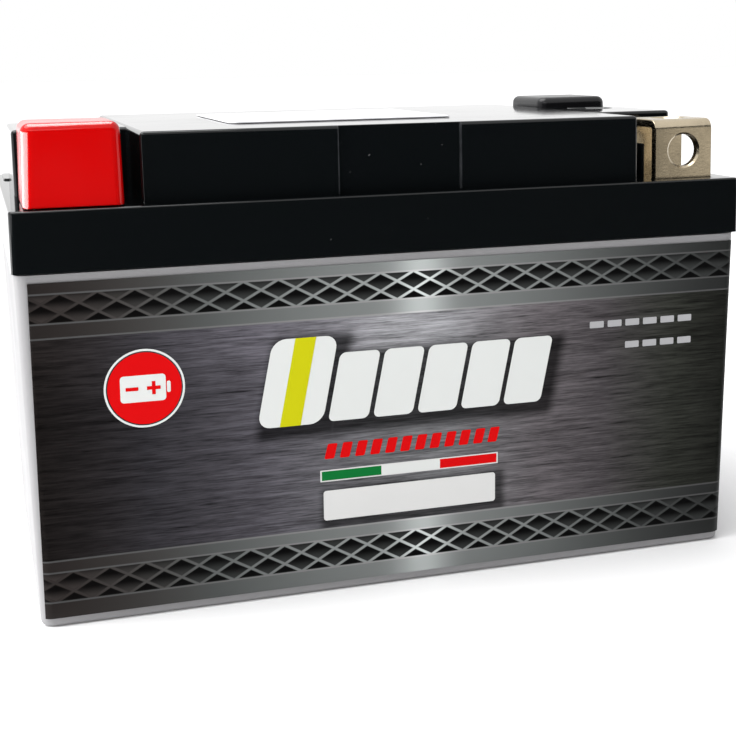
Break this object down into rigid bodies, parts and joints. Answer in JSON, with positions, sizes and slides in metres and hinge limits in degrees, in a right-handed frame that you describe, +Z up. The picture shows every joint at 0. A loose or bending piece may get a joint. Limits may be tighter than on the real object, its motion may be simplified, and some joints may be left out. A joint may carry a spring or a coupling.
{
  "type": "motorcycle battery",
  "caption": "Sealed lithium motorcycle starter battery: grey case, black lid, plate terminals, lift-off terminal caps, cell pack, management board and leads inside.",
  "frame": {"origin": "centre of the bottom face of the whole battery, on the ground", "axes": "+Z up; +X along the long side; the face with the main label looks towards -Y"},
  "size_m": [0.15, 0.087, 0.0962],
  "materials": {
    "case_grey": "fine moulded, light grey",
    "gloss_black": "polished",
    "cap_red": "polished",
    "cap_black": "satin",
    "nickel": "nickel plated, slightly worn",
    "copper": null,
    "cell_sleeve": "shrink sleeve",
    "holder": "moulded",
    "foam": "closed-cell foam",
    "fish_paper": "pressed insulating paper",
    "board_green": "solder mask",
    "chip_black": "moulded",
    "connector_white": "moulded",
    "wire_red": "insulated lead",
    "seal_rubber": "soft rubber",
    "sealant": "cured sealant",
    "label_charcoal": "printed film, brushed look",
    "label_white": "printed film"
  },
  "bodies": {
    "battery": {"case": "case_grey", "lid": "gloss_black", "lid_sealant": "sealant", "front_label": "label_charcoal", "back_label": "label_charcoal", "top_label": "label_white", "positive_terminal": "nickel", "front_negative_terminal": "nickel", "rear_negative_terminal": "nickel", "positive_terminal_seal": "seal_rubber", "front_negative_terminal_seal": "seal_rubber", "rear_negative_terminal_seal": "seal_rubber", "cell_1_front": "cell_sleeve", "cell_1_back": "cell_sleeve", "cell_2_front": "cell_sleeve", "cell_2_back": "cell_sleeve", "cell_3_front": "cell_sleeve", "cell_3_back": "cell_sleeve", "cell_4_front": "cell_sleeve", "cell_4_back": "cell_sleeve", "lower_cell_holder": "holder", "upper_cell_holder": "holder", "positive_busbar": "copper", "top_series_busbar": "copper", "negative_busbar": "copper", "left_bottom_busbar": "copper", "right_bottom_busbar": "copper", "positive_strap": "copper", "pack_negative_strap": "copper", "front_output_strap": "copper", "rear_output_strap": "copper", "bms_shunt": "copper", "bottom_insulator": "fish_paper", "top_insulator": "fish_paper", "board_pad": "foam", "front_foam": "foam", "back_foam": "foam", "left_foam": "foam", "right_foam": "foam", "lid_pad": "foam", "bms_board": "board_green", "bms_mosfet_1": "chip_black", "bms_mosfet_2": "chip_black", "bms_mosfet_3": "chip_black", "bms_mosfet_4": "chip_black", "bms_controller": "chip_black", "balance_connector": "connector_white", "balance_lead_1": "wire_red", "balance_lead_2": "wire_red", "balance_lead_3": "wire_red", "balance_lead_4": "wire_red", "balance_lead_5": "wire_red"},
    "positive_cap": {"positive_cap": "cap_red"},
    "negative_cap": {"negative_cap": "cap_black"}
  },
  "joints": [
    {"name": "positive_cap_lift", "type": "slide", "parent": "battery", "child": "positive_cap", "axis": [0, 0, 1], "range_m": [0, 0.025]},
    {"name": "negative_cap_lift", "type": "slide", "parent": "battery", "child": "negative_cap", "axis": [0, 0, 1], "range_m": [0, 0.025]}
  ]
}
